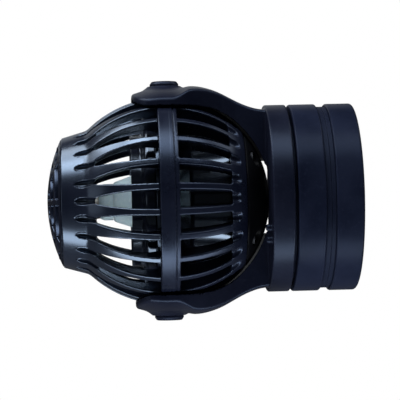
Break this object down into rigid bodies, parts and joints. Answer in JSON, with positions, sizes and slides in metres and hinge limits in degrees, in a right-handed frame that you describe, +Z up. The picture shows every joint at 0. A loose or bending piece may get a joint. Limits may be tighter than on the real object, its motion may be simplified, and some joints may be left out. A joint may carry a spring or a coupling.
{
  "type": "wave maker pump",
  "caption": "Caged circulation pump for an aquarium: it swings in a fork that swivels on a magnet foot, and a second magnet clamps it through the tank wall.",
  "frame": {"origin": "centre of the plane where the two magnet pads meet, which is the tank wall's place", "axes": "+X away from the tank's water toward the outside magnet, along the swivel axis; +Z up along the swing axis; the pump blows toward -X"},
  "size_m": [0.1143, 0.0774, 0.0892],
  "materials": {
    "housing_plastic": "satin moulded blue-black ABS",
    "yoke_plastic": "satin moulded blue-black ABS",
    "cage_plastic": "semi-gloss moulded blue-black ABS",
    "glossy_plastic": "gloss moulded black plastic",
    "grille_plastic": "gloss moulded black plastic",
    "cover_plastic": "matte moulded black plastic",
    "propeller_plastic": "smooth moulded light grey plastic",
    "bush_plastic": "smooth acetal",
    "pad_rubber": "matte ribbed rubber",
    "seal_rubber": "matte rubber",
    "olive_rubber": "matte rubber",
    "cable_jacket": "satin PVC",
    "stainless": "turned stainless steel",
    "plated_steel": "zinc plated steel",
    "magnet": "plated ferrite and neodymium",
    "copper_wire": "enamelled copper wire",
    "ceramic_rod": "ground alumina"
  },
  "bodies": {
    "wet_magnet": {"wet_magnet_housing": "housing_plastic", "wet_backing_plate": "plated_steel", "wet_magnet_disc": "magnet", "wet_magnet_cover": "housing_plastic", "wet_pad": "pad_rubber", "swivel_friction_washer": "pad_rubber", "swivel_retaining_washer": "stainless", "swivel_screw": "stainless"},
    "yoke": {"yoke_bracket": "yoke_plastic", "pivot_pins": "stainless", "pivot_caps": "yoke_plastic"},
    "pump": {"rear_cage": "cage_plastic", "pivot_bushes": "bush_plastic", "propeller_duct": "glossy_plastic", "motor_housing": "glossy_plastic", "stator_core": "plated_steel", "stator_windings": "copper_wire", "rear_cover": "cover_plastic", "rear_cover_seal": "seal_rubber", "rear_cover_screws": "stainless", "cable_gland": "seal_rubber", "power_cable": "cable_jacket", "rotor_shaft": "ceramic_rod", "rear_shaft_cushion": "seal_rubber", "thrust_washers": "ceramic_rod"},
    "rotor": {"rotor_magnet": "magnet", "propeller": "propeller_plastic", "propeller_nose": "propeller_plastic", "rotor_bushes": "bush_plastic"},
    "front_cage": {"front_cage": "cage_plastic", "outlet_grille": "grille_plastic", "front_shaft_cushion": "olive_rubber"},
    "dry_magnet": {"dry_magnet_housing": "housing_plastic", "dry_backing_plate": "plated_steel", "dry_magnet_disc": "magnet", "dry_magnet_cover": "housing_plastic", "dry_pad": "pad_rubber"}
  },
  "joints": [
    {"name": "yoke_swivel", "type": "hinge", "parent": "wet_magnet", "child": "yoke", "pos_m": [0, 0, 0], "axis": [1, 0, 0], "continuous": true},
    {"name": "pump_swing", "type": "hinge", "parent": "yoke", "child": "pump", "pos_m": [-0.058, 0, 0], "axis": [0, 0, 1], "range_deg": [-60, 60]},
    {"name": "rotor_spin", "type": "hinge", "parent": "pump", "child": "rotor", "pos_m": [-0.058, 0, 0], "axis": [1, 0, 0], "continuous": true},
    {"name": "cage_twist", "type": "hinge", "parent": "pump", "child": "front_cage", "pos_m": [-0.058, 0, 0], "axis": [1, 0, 0], "range_deg": [0, 20]},
    {"name": "dry_magnet_pull", "type": "slide", "parent": "wet_magnet", "child": "dry_magnet", "axis": [1, 0, 0], "range_m": [0, 0.015]}
  ]
}
